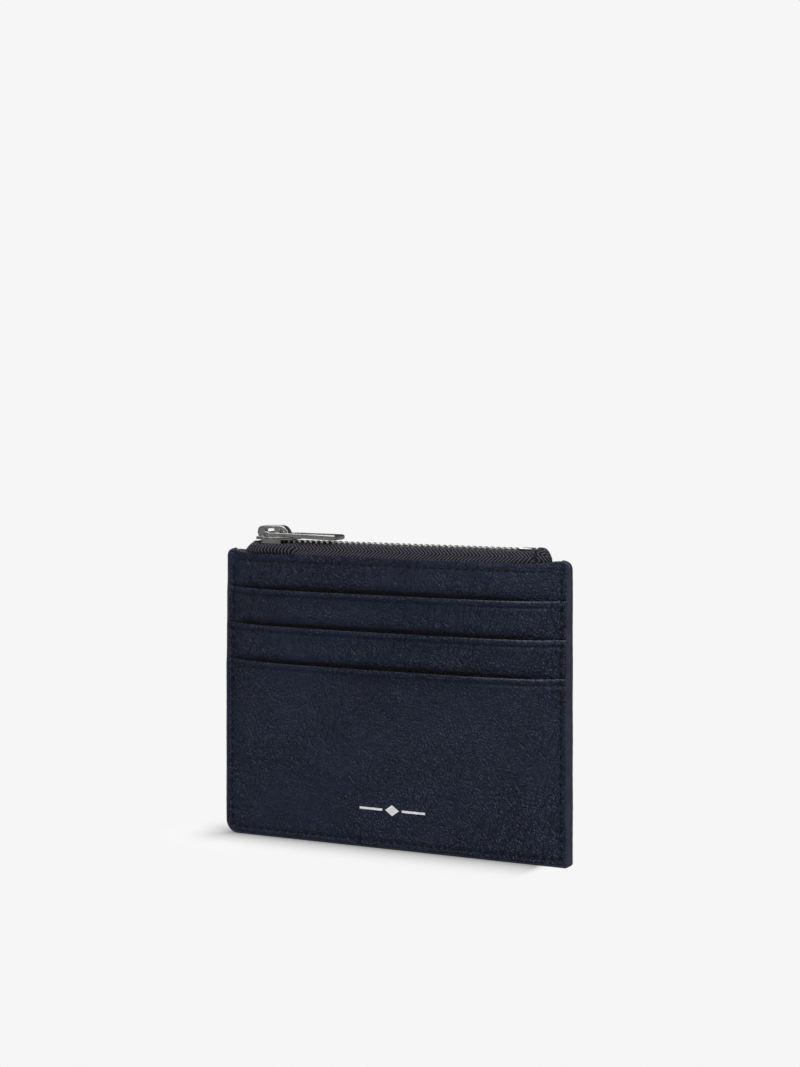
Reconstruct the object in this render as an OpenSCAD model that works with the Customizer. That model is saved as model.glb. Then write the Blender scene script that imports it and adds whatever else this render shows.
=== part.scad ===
// Slim leather card holder: three card pockets on the front, a zipped coin compartment behind them.
// Millimetres, +Z up, front face towards -Y, origin under the middle of the case.

/* [Case] */
// Overall width over the painted edges
case_w = 118; // [104:1:132]
// Height of the side corners
case_h = 90; // [80:1:100]
// Depth of the front panel's bulge at the mouth
bulge_front = 4.0; // [3.2:0.1:6]
// Depth of the rear panel's bulge at the mouth
bulge_rear = 3.1; // [2.6:0.1:6]
// Radius of the lower corner at the zip's closed end
corner_left = 5; // [1.5:0.5:9]
// Radius of the lower corner at the zip's open end
corner_right = 2.5; // [1.5:0.5:9]
// Width of the flat stitched margin, measured from the edge
margin = 3.2; // [3:0.1:5]

/* [Card pockets] */
// Height of the lowest pocket's mouth
mouth_low = 55.5; // [54:0.5:58]
// Step up from one pocket mouth to the next
mouth_step = 11.4; // [9:0.1:13]
// Sag of each mouth at mid span
mouth_sag = 0.5; // [0:0.1:1.5]
// Depth of a pocket, enough for a standard card
pocket_depth = 54.5; // [54:0.5:58]
// Half width of the hidden pocket backs
tail_half = 47; // [45:0.5:52]

/* [Leather] */
// Thickness of the front and rear panels
panel_t = 0.45; // [0.4:0.05:1.2]
// Thickness of the two upper pocket bands
band_t = 0.3; // [0.25:0.05:0.8]
// Thickness of the lowest pocket
pocket_t = 0.4; // [0.3:0.05:1]
// Thickness of the cloth lining
lining_t = 0.2; // [0.15:0.05:0.5]
// Air between neighbouring layers
gap = 0.05; // [0.02:0.01:0.15]
// Radial width of the painted edge bead
bead_w = 0.7; // [0.5:0.1:1.5]

/* [Stitching] */
// Distance from one stitch to the next
stitch_pitch = 2.7; // [2:0.1:4]
// Length of one stitch
stitch_l = 2.0; // [1.4:0.1:3.4]
// Width of the thread
thread_w = 0.4; // [0.25:0.05:0.8]
// Height that the thread stands above the leather
thread_t = 0.2; // [0.1:0.05:0.5]
// Distance from the edge to the stitch line
stitch_in = 2.4; // [2:0.1:2.8]

/* [Zip] */
// Half length of the zip tape
tape_half = 51; // [44:0.5:53]
// Thickness of the tape
tape_t = 0.3; // [0.2:0.05:0.5]
// Distance between neighbouring teeth on one side
tooth_pitch = 2.0; // [1.6:0.1:2.6]
// Height of the closed chain's upper face
chain_top = 93.4; // [92:0.1:95]
// Thickness of a tooth
tooth_t = 0.95; // [0.7:0.05:1.4]
// Reach of a tooth on its own side of the middle
tooth_reach = 1.75; // [1.4:0.05:2.2]

/* [Slider and pull] */
// Middle of the closed slider, along the zip
slider_x = -40.6; // [-44:0.1:-36]
// Length of the slider
slider_l = 13.5; // [11:0.5:16]
// Half width of the slider at its mouth
slider_half = 4.2; // [3.6:0.1:5]
// Thickness of each slider plate
plate_t = 0.85; // [0.6:0.05:1.2]
// Length of the pull from its pivot
pull_l = 24.8; // [18:0.2:27]
// Half width of the pull
pull_half = 3.1; // [2.4:0.1:4]
// Half width of the bridge over the slider
bridge_half = 1.3; // [1:0.1:1.6]

/* [Foil mark] */
// Width of the generic foil mark
mark_w = 22.6; // [12:0.2:30]
// Height of its middle lozenge
mark_h = 3.4; // [2:0.1:5]
// Middle of the mark, across the case
mark_x = 1.0; // [-20:0.1:20]
// Height of the mark above the base
mark_z = 12.1; // [11.8:0.1:15]

/* [Hidden] */

navy = [0.085, 0.10, 0.15];
cloth = [0.10, 0.11, 0.14];
zip_navy = [0.13, 0.13, 0.17];
thread = [0.06, 0.07, 0.10];
nickel = [0.62, 0.62, 0.62];
foil = [0.88, 0.88, 0.88];

// Layers, counted outwards from the coin compartment.
lining_s = [gap, gap + lining_t];
tape_s = [gap, gap + tape_t];
panel_s = [tape_s[1] + gap, tape_s[1] + gap + panel_t];
upper_s = [panel_s[1] + gap, panel_s[1] + gap + band_t];
middle_s = [upper_s[1] + gap, upper_s[1] + gap + band_t];
lower_s = [middle_s[1] + gap, middle_s[1] + gap + pocket_t];
rear_s = [panel_s[0], panel_s[1] + gap];
front_stack = lower_s[1];
rear_stack = rear_s[1];
// The compartment's middle plane, set so that the sewn edge straddles Y = 0.
mid_y = (front_stack - rear_stack) / 2;

// Panel grid. Every layer uses the same columns and rows, so neighbours never cross.
panel_half = case_w / 2 - bead_w;
flat_x = case_w / 2 - margin;
panel_top = case_h - 0.8;
zip_seam_z = panel_top - stitch_in + 0.1;
mouths = [mouth_low, mouth_low + mouth_step, mouth_low + 2 * mouth_step];
cols = [-panel_half, -flat_x, -53.4, -tape_half, -47, -40, -26, -12, 0, 12, 26, 40, 47, tape_half, 53.4,
    flat_x, panel_half];
rows = [bead_w, 1.2, 2.0, margin, 5, 10.4, 17, 24, 34, 44, 50, mouths[0], 61, mouths[1], 72.6, mouths[2],
    84, panel_top - 0.8, panel_top];
ROW_FLAT = 3;
ROW_MOUTH = [11, 13, 15];
ROW_ZIP = 16;
LAST = len(rows) - 1;

// Share of the bulge at a height, and across the width.
rise = [[margin, 0], [10.4, 0.11], [24, 0.30], [44, 0.53], [mouths[0], 0.66], [mouths[1], 0.79],
    [mouths[2], 0.93], [84, 1], [case_h, 1]];
function up(z) = lookup(z, rise);
function across(x) = abs(x) >= flat_x ? 0 : 1 - pow(abs(x) / flat_x, 12);
function inset(z, r) = z >= r ? 0 : r - sqrt(max(0, r * r - (r - z) * (r - z)));
function corner(x) = (x < 0 ? corner_left : corner_right) - bead_w;
// Width left at a height, next to the rounded corners.
function half_at(x, z) = panel_half - inset(z - bead_w, corner(x)) - inset(case_h - 0.6 - z, 2);
function col_x(i, z) = let (c = abs(cols[i]), k = (half_at(cols[i], z) - tape_half) / (panel_half - tape_half))
    c <= tape_half ? cols[i] : sign(cols[i]) * (tape_half + (c - tape_half) * k);
function sag(j) = j == ROW_MOUTH[0] || j == ROW_MOUTH[1] || j == ROW_MOUTH[2] ? mouth_sag : 0;
function lift(x, z) = z < 84 ? 0 : 0.7 * pow(max(0, abs(x) - 49) / 9, 2) * (z - 84) / 5;
function row_z(i, j) = rows[j] - sag(j) * (1 - pow(cols[i] / panel_half, 2)) + lift(cols[i], rows[j]);
// Y of a layer surface on the front (side = -1) or the rear (side = 1).
function depth(side) = side < 0 ? bulge_front : bulge_rear;
function layer_y(side, i, j, s) = mid_y + side * (depth(side) * across(cols[i]) * up(rows[j]) + s);
function grid_pt(side, i, j, s) = [col_x(i, rows[j]), layer_y(side, i, j, s), row_z(i, j)];
// Y of a layer at the mouth, between two columns.
function mouth_y(side, x, s) = lookup(x, [for (i = [0:len(cols) - 1])
    [cols[i], layer_y(side, i, LAST, s)]]);

// Closed skin over rings of equal length. A strip ring is capped as a strip, outer points then inner.
module loft(rings, strip = false) {
    n = len(rings[0]);
    m = len(rings);
    half = n / 2;
    walls = [for (i = [0:m - 2], k = [0:n - 1]) each let (a = i * n + k, b = i * n + (k + 1) % n)
        [[a, b, b + n], [a, b + n, a + n]]];
    fan = [for (k = [1:n - 2]) [0, k + 1, k]];
    band = [for (k = [0:half - 2]) each [[k, n - 1 - k, n - 2 - k], [k, n - 2 - k, k + 1]]];
    start = strip ? band : fan;
    end = [for (t = start) [t[0] + (m - 1) * n, t[2] + (m - 1) * n, t[1] + (m - 1) * n]];
    polyhedron([for (r = rings) each r], concat(walls, start, end));
}

// One layer of the case between two grid columns and two grid rows.
module layer(side, s, i0, i1, j0, j1) {
    outer = side < 0 ? s[1] : s[0];
    inner = side < 0 ? s[0] : s[1];
    loft([for (i = [i0:i1]) concat([for (j = [j0:j1]) grid_pt(side, i, j, outer)],
        [for (j = [j1:-1:j0]) grid_pt(side, i, j, inner)])], true);
}

C1 = len(cols) - 1;
module front_panel() color(navy) layer(-1, panel_s, 0, C1, 0, LAST);
module back_panel() color(navy) layer(1, rear_s, 0, C1, 0, LAST);
module card_pocket_lower() color(navy) layer(-1, lower_s, 0, C1, 0, ROW_MOUTH[0]);
module card_pocket_middle() color(navy) layer(-1, middle_s, 0, C1, ROW_MOUTH[0] - 1, ROW_MOUTH[1]);
module card_pocket_upper() color(navy) layer(-1, upper_s, 0, C1, ROW_MOUTH[1] - 1, ROW_MOUTH[2]);
module lining_front() color(cloth) layer(-1, lining_s, 1, C1 - 1, 1, ROW_ZIP - 1);
module lining_rear() color(cloth) layer(1, lining_s, 1, C1 - 1, 1, ROW_ZIP - 1);

// Hidden cloth back of a pocket, hanging from just under its leather band.
module tail(s, top, bottom) {
    i0 = 4;
    i1 = C1 - 4;
    function at(z) = [for (i = [i0:i1]) mid_y - bulge_front * across(cols[i]) * up(z)];
    zs = concat([bottom], [for (r = rows) if (r > bottom + 1 && r < top - 1) r], [top]);
    loft([for (i = [i0:i1]) concat(
        [for (z = zs) [cols[i] * tail_half / cols[i1], at(z)[i - i0] - s[1], z]],
        [for (k = [len(zs) - 1:-1:0]) [cols[i] * tail_half / cols[i1], at(zs[k])[i - i0] - s[0], zs[k]]])],
        true);
}
tail_t = [upper_s[0] + gap, upper_s[1] - gap];
tail_m = [middle_s[0] + gap, middle_s[1] - gap];
module pocket_tail_upper() color(cloth)
    tail(tail_t, rows[ROW_MOUTH[1] - 1] - 0.2, mouths[2] - pocket_depth);
module pocket_tail_middle() color(cloth)
    tail(tail_m, rows[ROW_MOUTH[0] - 1] - 0.2, mouths[1] - pocket_depth);

// Painted bead around the two sides and the bottom.
top_r = 2;
top_c = case_h - 0.6 - top_r;
function top_pt(e, a) = let (x = e * (panel_half - top_r + top_r * cos(a)), z = top_c + top_r * sin(a))
    [x, z + lift(x, z), e > 0 ? a : 180 - a];
bead_path = concat(
    [for (a = [60, 40, 20, 0]) top_pt(-1, a)], [[-panel_half, 84, 180], [-panel_half, 45, 180]],
    [for (a = [180:15:270]) let (r = corner_left - bead_w)
        [-panel_half + r + r * cos(a), bead_w + r + r * sin(a), a]],
    [for (a = [270:22.5:360]) let (r = corner_right - bead_w)
        [panel_half - r + r * cos(a), bead_w + r + r * sin(a), a]],
    [[panel_half, 45, 0], [panel_half, 84, 0]], [for (a = [0, 20, 40, 60]) top_pt(1, a)]);
bead_half = (front_stack + rear_stack) / 2;
bead_ring = [[gap, bead_half - 0.1], [0.45, bead_half - 0.2], [bead_w, 0.7], [bead_w, -0.7],
    [0.45, -bead_half + 0.2], [gap, -bead_half + 0.1]];
module edge_bead() color(navy)
    loft([for (p = bead_path) [for (q = bead_ring)
        [p[0] + q[0] * cos(p[2]), q[1], p[1] + q[0] * sin(p[2])]]]);

// Thread.
module stitch(l = stitch_l) translate([-l / 2, 0, -thread_w / 2]) cube([l, thread_t, thread_w]);
// Outer face of the layer stack on the front at a height.
function front_face(z) = z < mouths[0] + 0.5 ? lower_s[1] : z < mouths[1] + 0.5 ? middle_s[1]
    : z < mouths[2] + 0.5 ? upper_s[1] : panel_s[1];
module seam(side) {
    x_line = case_w / 2 - stitch_in;
    low = corner_left + 1;
    count = floor((zip_seam_z - 1 - low) / stitch_pitch);
    wide = floor((2 * x_line - corner_left - corner_right) / stitch_pitch);
    for (k = [0:count], e = [-1, 1]) {
        z = low + k * stitch_pitch;
        y = side < 0 ? mid_y - front_face(z - stitch_l / 2) - gap - thread_t : mid_y + rear_stack + gap;
        translate([e * x_line, y, z]) rotate([0, 90, 0]) stitch();
    }
    y = side < 0 ? mid_y - lower_s[1] - gap - thread_t : mid_y + rear_stack + gap;
    for (k = [0:wide])
        translate([-x_line + corner_left + k * stitch_pitch, y, stitch_in]) stitch();
}
module seam_stitching_front() color(thread) seam(-1);
module seam_stitching_rear() color(thread) seam(1);

// Stitches that hold the tape, along the mouth of each panel.
module zip_seam(side) {
    s = (side < 0 ? panel_s[1] : rear_stack) + gap;
    count = floor((flat_x - 2.5) / stitch_pitch);
    for (k = [-count:count]) {
        a = k * stitch_pitch - stitch_l / 2;
        b = a + stitch_l;
        ya = mouth_y(side, a, s);
        yb = mouth_y(side, b, s);
        translate([(a + b) / 2, side < 0 ? min(ya, yb) - thread_t : max(ya, yb), zip_seam_z])
            rotate([0, 0, atan((yb - ya) / stitch_l)]) stitch();
    }
}
module zip_stitching_front() color(thread) zip_seam(-1);
module zip_stitching_rear() color(thread) zip_seam(1);

// Generic mark: a lozenge between two bars, following the leather's slope.
mark_slope = bulge_front * (up(17) - up(10.4)) / (17 - 10.4);
module foil_mark() color(foil) {
    y0 = mid_y - lower_s[1] - bulge_front * up(10.4) + mark_slope * 10.4 - 0.04;
    bar = mark_w / 2 - mark_h;
    multmatrix([[1, 0, 0, mark_x], [0, 1, -mark_slope, y0], [0, 0, 1, 0], [0, 0, 0, 1]])
        translate([0, 0, mark_z]) rotate([90, 0, 0]) linear_extrude(0.05) {
            polygon([[-mark_h * 0.7, 0], [0, -mark_h / 2], [mark_h * 0.7, 0], [0, mark_h / 2]]);
            for (e = [-1, 1]) translate([e * (mark_w - bar) / 2, 0]) square([bar, 0.7], center = true);
        }
}

// Zip tape: sewn inside the panel, standing up from its mouth and turning in to the teeth.
tail_x = slider_x + slider_l / 2;
head_x = slider_x - slider_l / 2;
slot_z = chain_top - 1.35;
// Stations along the tape: every panel column, with more round the slider and the folded ends.
tape_x = [-tape_half, -49.6, -47, -44.8, tail_x - 8.2, -40, tail_x - 3, tail_x + 0.8, tail_x + 2.4, -26, -12, 0, 12, 26,
    40, 47, 49.6, tape_half];
// 1 where the slider spreads the tape, 0 along the free chain.
function spread(x) = lookup(x, [[-49.6, 0], [-47, 1], [tail_x + 0.8, 1], [tail_x + 2.4, 0]]);
function end_in(x) = lookup(abs(x), [[47, 0], [tape_half, 1]]);
function mix(a, b, t) = a + (b - a) * t;
function tape_line(x, side) = let (
    s = mouth_y(side, x, (tape_s[0] + tape_s[1]) / 2),
    w = spread(x),
    e = end_in(x))
    [[s, 84.3], [s, panel_top - 0.4], [s - side * 0.03, panel_top + 0.3],
     [mix(mix(side * 3.3, side * (slider_half + 0.45), w), s, e), mix(91.2, 90.6, w)],
     [mix(mix(side * 2.7, side * (slider_half + 0.45), w), s * 0.9, e), mix(92.3, slot_z, w)],
     [side * mix(mix(1.9, 3.3, w), 1.6, e), mix(chain_top - 0.6, slot_z + 0.1, w)],
     [side * (0.8 + w * min(1.75, tooth_off(x))), mix(chain_top - 0.5, chain_top - 0.75, w)]];
function norm2(v) = v / max(1e-6, norm(v));
function side_dir(p, k) = let (
    d = norm2(norm2(p[min(k + 1, len(p) - 1)] - p[k]) + norm2(p[k] - p[max(k - 1, 0)])))
    [-d[1], d[0]] * tape_t / 2;
function tape_ring(x, side) = let (p = tape_line(x, side)) concat(
    [for (k = [0:len(p) - 1]) let (q = p[k] + side_dir(p, k)) [x, q[0], q[1]]],
    [for (k = [len(p) - 1:-1:0]) let (q = p[k] - side_dir(p, k)) [x, q[0], q[1]]]);
module tape(side) loft([for (x = tape_x) tape_ring(x, side)], true);
module zip_tape_front() color(zip_navy) tape(-1);
module zip_tape_rear() color(zip_navy) tape(1);

// Teeth: each has a foot that grips the tape's edge and a head that reaches over the middle.
closed_x = tail_x - 4;
stop_x = 43.4;
tooth_first = closed_x - 2 * tooth_pitch;
function tooth_off(x) = max(0, closed_x - x) * 0.42;
tooth_w = tooth_pitch / 2 - 0.08;
module tooth(side) linear_extrude(tooth_t) polygon([for (p = [[-0.42, -tooth_reach], [0.42, -tooth_reach],
    [0.38, -0.5], [0.5, -0.15], [0.42, 0.42], [-0.42, 0.42], [-0.5, -0.15], [-0.38, -0.5]])
    [p[0] * tooth_w, -side * p[1]]]);
module teeth(side) {
    shift = side < 0 ? 0 : tooth_pitch / 2;
    for (x = [tooth_first + shift:tooth_pitch:stop_x - 0.8])
        translate([x, side * tooth_off(x), chain_top - tooth_t]) difference() {
            tooth(side);
            let (low = x < tail_x + 3 ? -1 : 0.14)
                translate([-1.5, side > 0 ? 0.7 : -2.2, low]) cube([3, 1.5, tooth_t - 0.3 - low]);
        }
}
module zip_teeth_front() color(nickel) teeth(-1);
module zip_teeth_rear() color(nickel) teeth(1);

// Stops crimped on the tape ends.
module top_stops() color(nickel) for (e = [-1, 1])
    translate([head_x + 2.75, 0, 0]) rotate([90, 0, 90]) linear_extrude(1.1) polygon([for (p = [
        [1.65, 92.4], [2.3, 92.4], [2.3, 92.86], [3.0, 92.86], [3.0, 93.1], [1.65, 93.1]]) [e * p[0], p[1]]]);
module bottom_stop() color(nickel) translate([stop_x, 0, chain_top - 0.1]) rotate([90, 0, 90])
    linear_extrude(4.1) polygon([[-1.7, -0.1], [-1.7, 0.12], [-1.3, 0.3], [1.3, 0.3], [1.7, 0.12],
        [1.7, -0.1]]);

// Folded tape ends that close the zip at each side.
module end_fold(x0, x1, top, side) {
    xs = [x0, x0 + (x1 - x0) * 0.3, x0 + (x1 - x0) * 0.7, x1];
    hs = [top - 0.35, top, top - 0.25, top - 2.2];
    loft([for (k = [0:3]) let (k2 = side < 0 ? 3 - k : k, x = side * xs[k2], h = hs[k2],
        a = mouth_y(-1, x, 0) + 0.1, b = mouth_y(1, x, 0) - 0.1) [for (p = [[a, panel_top - 3],
        [a, h - 1.6], [a + 0.7, h - 0.4], [(a + b) / 2, h], [b - 0.7, h - 0.4], [b, h - 1.6],
        [b, panel_top - 3]]) [x, p[0], p[1]]]]);
}
module zip_end_right() color(zip_navy) end_fold(tape_half + 0.1, tape_half + 0.9, 93.65, 1);
module zip_end_left() color(zip_navy) end_fold(tape_half + 0.1, tape_half + 0.7, 91.4, -1);

// Slider: two plates on a wedge post, with side flanges that guide the tape.
top_z = chain_top + 0.1;
low_z = chain_top - 1.95;
flange_x = [slider_x - 3.6, slider_x + 3.3];
module plate(z) translate([slider_x, 0, z]) linear_extrude(plate_t) polygon([for (e = [-1, 1], p =
    e < 0 ? [[-6.75, -1.6], [-6.1, -3.3], [-4.1, -slider_half], [3.4, -slider_half], [5.0, -3.2], [6.75, -2.8]]
    : [[6.75, 2.8], [5.0, 3.2], [3.4, slider_half], [-4.1, slider_half], [-6.1, 3.3], [-6.75, 1.6]])
    [p[0] * slider_l / 13.5, p[1]]]);
module slider_body() color(nickel) union() {
    plate(top_z);
    plate(low_z - plate_t);
    for (e = [-1, 1]) {
        translate([flange_x[0], e > 0 ? slider_half - 0.6 : -slider_half, slot_z + 0.28])
            cube([flange_x[1] - flange_x[0], 0.6, top_z - slot_z - 0.2]);
    }
    translate([slider_x, 0, low_z - 0.1]) linear_extrude(top_z - low_z + 0.2)
        polygon([[-6.2, 0], [-5.2, -0.8], [-3.4, -0.5], [-2.6, 0], [-3.4, 0.5], [-5.2, 0.8]]);
}

// Bridge that carries the pull, with two windows.
plate_top = top_z + plate_t;
module slider_bridge() color(nickel) translate([slider_x, bridge_half, plate_top + 0.02])
    rotate([90, 0, 0]) linear_extrude(2 * bridge_half) difference() {
        polygon([[-6.5, 0], [-6.9, 1.2], [-6.6, 2.5], [-5.8, 3.25], [-5, 3.4], [1.7, 3.5], [2.9, 3.1],
            [3.9, 2.1], [4.4, 1], [4.5, 0]]);
        polygon([[-4.4, -1], [-4.4, 2.0], [-4.0, 2.4], [-0.9, 2.5], [-0.7, 2.2], [-0.7, -1]]);
        polygon([[1.2, 1.0], [1.3, 2.4], [2.0, 2.4], [2.9, 1.6], [2.9, 1.0]]);
    }

// Pull: a flat bar with an open eye whose end rail turns under the bridge.
pivot_x = slider_x - 2.6;
pivot_z = plate_top + 0.85;
pull_tip = pull_l;
module pull_tab() color(nickel) translate([pivot_x, 0, pivot_z]) difference() {
    union() {
        rotate([90, 0, 0]) cylinder(r = 0.75, h = 2 * pull_half, center = true, $fn = 24);
        translate([0, pull_half, 0]) rotate([90, 0, 0]) linear_extrude(2 * pull_half) polygon([[0, -0.75],
            [9.7, -0.75], [10.4, -1.0], [pull_tip - 0.8, -1.4], [pull_tip, -1.0], [pull_tip, 0.0],
            [pull_tip - 0.7, 0.28], [9.7, 0.35], [0, 0.42]]);
    }
    translate([0.85, -1.65, -2]) cube([7.6, 3.3, 4]);
}

front_panel();
card_pocket_upper();
card_pocket_middle();
card_pocket_lower();
pocket_tail_upper();
pocket_tail_middle();
back_panel();
lining_front();
lining_rear();
edge_bead();
seam_stitching_front();
seam_stitching_rear();
zip_stitching_front();
zip_stitching_rear();
foil_mark();
zip_end_left();
zip_end_right();
top_stops();
bottom_stop();
zip_tape_front();
zip_teeth_front();
zip_tape_rear();
zip_teeth_rear();
slider_body();
slider_bridge();
pull_tab();
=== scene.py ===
import bpy
import bmesh
import math
import numpy as np
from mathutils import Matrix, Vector


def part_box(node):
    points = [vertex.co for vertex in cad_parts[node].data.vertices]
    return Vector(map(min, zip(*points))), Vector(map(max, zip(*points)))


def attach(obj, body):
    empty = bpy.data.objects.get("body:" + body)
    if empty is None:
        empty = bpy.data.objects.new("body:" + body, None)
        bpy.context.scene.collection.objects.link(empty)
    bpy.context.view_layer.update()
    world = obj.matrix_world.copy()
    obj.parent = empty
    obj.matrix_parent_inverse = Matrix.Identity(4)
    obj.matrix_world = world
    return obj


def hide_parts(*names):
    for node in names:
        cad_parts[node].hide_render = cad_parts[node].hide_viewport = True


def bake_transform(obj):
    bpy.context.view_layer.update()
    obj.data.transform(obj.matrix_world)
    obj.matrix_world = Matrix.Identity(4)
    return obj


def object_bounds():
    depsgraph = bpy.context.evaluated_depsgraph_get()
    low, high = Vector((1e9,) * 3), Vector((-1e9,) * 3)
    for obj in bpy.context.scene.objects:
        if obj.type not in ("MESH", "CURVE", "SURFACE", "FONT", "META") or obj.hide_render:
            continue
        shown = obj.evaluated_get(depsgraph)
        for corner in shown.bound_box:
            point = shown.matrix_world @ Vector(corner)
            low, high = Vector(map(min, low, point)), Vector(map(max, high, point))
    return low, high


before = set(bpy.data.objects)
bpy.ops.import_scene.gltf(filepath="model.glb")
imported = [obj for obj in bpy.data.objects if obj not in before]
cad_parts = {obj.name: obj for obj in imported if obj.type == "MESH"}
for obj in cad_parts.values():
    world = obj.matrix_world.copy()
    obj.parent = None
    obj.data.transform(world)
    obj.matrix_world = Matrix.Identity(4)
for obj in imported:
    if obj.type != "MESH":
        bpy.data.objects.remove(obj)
cad_low, cad_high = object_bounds()
MM = 0.001
rng = np.random.default_rng(7)

# ---------------------------------------------------------------- sizes (millimetres, row frame)
W2 = cad_high[0] / MM                      # half width over the edges
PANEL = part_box("front_panel")
HALF = PANEL[1][0] / MM                    # half width of a leather panel
TOP = 89.2                                 # panel height at mid span
BASE = PANEL[0][2] / MM                    # lower edge of a panel, inside the bead
MOUTH = [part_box(n)[1][2] / MM for n in ("card_pocket_lower", "card_pocket_middle", "card_pocket_upper")]
SAG = [0.65, 0.5, 0.45]                    # sag of each mouth at mid span
EDGE = 0.7                                 # width of the painted edge outside a panel
CORNER = {-1: 4.3, 1: 1.2}                 # radius of the lower corners, left and right
TOP_CORNER = 2.0                           # radius of a panel's upper corners
STILL = 51                                 # inside this x, the corners don't move a point sideways
STITCH_IN, PITCH, STITCH_L = 2.4, 2.7, 2.0
THREAD_W, THREAD_H = 0.52, 0.20
ZIP_SEAM = 86.9                            # height of the seam that holds the tape
ZIP_SEAM_END = 54.5
MID_Y = 0.55
BULGE = {-1: 4.0, 1: 3.1}                  # depth of the bulge at the mouth, front and back
BULGE_HALF = 55.8                          # half width over which the panels bulge
RISE_Z = [0, 3.2, 10.4, 24, 44, 55.5, 66.9, 78.3, 84, 92]
RISE_V = [0, 0, 0.11, 0.30, 0.53, 0.66, 0.79, 0.93, 1, 1]
ROLL = 7                                   # points round a turned edge
CLOTH_T = 0.16


def smooth(a, b, v):
    """0 at a and 1 at b, with an eased way between."""
    t = np.clip((np.asarray(v, float) - a) / (b - a), 0, 1)
    return t * t * (3 - 2 * t)


def mix(a, b, t):
    return a + (b - a) * t


def bell(v, width):
    """1 at v = 0, falling away on both sides over about that width."""
    return np.exp(-(v / width) ** 2)


def rise(z):
    """Share of the bulge at a height, eased over a few millimetres."""
    return sum(np.interp(np.asarray(z, float) + d, RISE_Z, RISE_V) for d in np.linspace(-2.4, 2.4, 9)) / 9


def across(x):
    """Share of the bulge at a place across the width."""
    return 1 - np.clip(np.abs(x) / BULGE_HALF, 0, 1) ** 11


WAVES = [(rng.uniform(0.25, 1), rng.uniform(0, 2 * math.pi), rng.uniform(0, 2 * math.pi)) for _ in range(14)]


def ripple(x, z, size):
    """Gentle unevenness of hide, in -1..1, with features of about that size in mm."""
    total = 0.0
    for k, (stretch, turn, phase) in enumerate(WAVES):
        f = 2 * math.pi / (size * (0.6 + 1.2 * stretch))
        along = x * math.cos(turn) + z * math.sin(turn)
        beside = z * math.cos(turn) - x * math.sin(turn)
        total = total + np.sin(f * along + phase + 1.3 * np.sin(0.6 * f * beside + k))
    return total / 6.0


def edge_distance(x, z):
    """Distance from the outline of the case, round its lower corners too."""
    r = np.where(x < 0, CORNER[-1], CORNER[1])
    qx, qz = np.abs(x) - (W2 - r), r - z
    both = (qx > 0) & (qz > 0)
    round_corner = r - np.hypot(np.maximum(qx, 0), np.maximum(qz, 0))
    return np.where(both, round_corner, np.minimum(W2 - np.abs(x), z))


def inset(z, r):
    """How far a corner of radius r draws the side in, at height z above its end."""
    z = np.asarray(z, float)
    return np.where(z >= r, 0, r - np.sqrt(np.maximum(0, r * r - (r - z) ** 2)))


def outline_x(u, z):
    """Real x of a panel point whose nominal x is u: the rows narrow at the rounded corners."""
    r = np.where(u < 0, CORNER[-1], CORNER[1]) - EDGE
    half = HALF - inset(z - BASE, r) - inset(TOP + 0.03 - z, TOP_CORNER)
    k = (half - STILL) / (HALF - STILL)
    return np.where(np.abs(u) <= STILL, u, np.sign(u) * (STILL + (np.abs(u) - STILL) * k))


def lift(x, z):
    """How far the top edge turns up towards its corners."""
    return 0.75 * smooth(47.5, 57.5, np.abs(x)) * np.clip((z - 82) / 7, 0, 1) ** 2


def beat(along, low):
    """Rises and falls once a stitch, from 2 * low - 1 up to 1."""
    return low + (1 - low) * np.cos(2 * math.pi * along / PITCH)


def edge_seam(x, z, low, width):
    """Marks of the stitches along the edge, 0 to 1: counted along x at the foot and along z up the sides."""
    return beat(np.where(z < 5, x, z), low) * bell(edge_distance(x, z) - STITCH_IN, width)


def zip_seam(x, z, low, width):
    """Marks of the stitches that hold the tape, 0 to 1."""
    return beat(x, low) * bell(z - lift(x, z) - ZIP_SEAM, width) * (np.abs(x) < ZIP_SEAM_END)


def pinch(x, z):
    """How far the stitching pulls the leather in."""
    return 0.27 * edge_seam(x, z, 0.62, 0.46) + 0.25 * zip_seam(x, z, 0.62, 0.46)


def rim_puff(x, z):
    """Swelling of the leather between its edge and its seam, 0 to 1."""
    return bell(edge_distance(x, z) - 1.25, 0.55)


def side_weight(x):
    """0 over the bulge and 1 at the side seams."""
    return smooth(49.5, 56.0, np.abs(x))


def case_y(side, x, z, s):
    """Real y of a point s outwards from the compartment's wall; side is -1 at the front and 1 at the back."""
    return MID_Y + side * (BULGE[side] * across(x) * rise(z) + s)


# ---------------------------------------------------------------- mesh helpers
def link_object(name, mesh):
    o = bpy.data.objects.new(name, mesh)
    bpy.context.scene.collection.objects.link(o)
    return o


def new_object(name, verts, faces, material, smooth_shade=True):
    mesh = bpy.data.meshes.new(name)
    mesh.from_pydata([tuple(float(c) * MM for c in v) for v in verts], [], faces)
    bm = bmesh.new()
    bm.from_mesh(mesh)
    bmesh.ops.remove_doubles(bm, verts=bm.verts, dist=1e-7)
    bmesh.ops.recalc_face_normals(bm, faces=bm.faces)
    bm.to_mesh(mesh)
    bm.free()
    mesh.polygons.foreach_set("use_smooth", [smooth_shade] * len(mesh.polygons))
    mesh.materials.append(material)
    return link_object(name, mesh)


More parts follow.
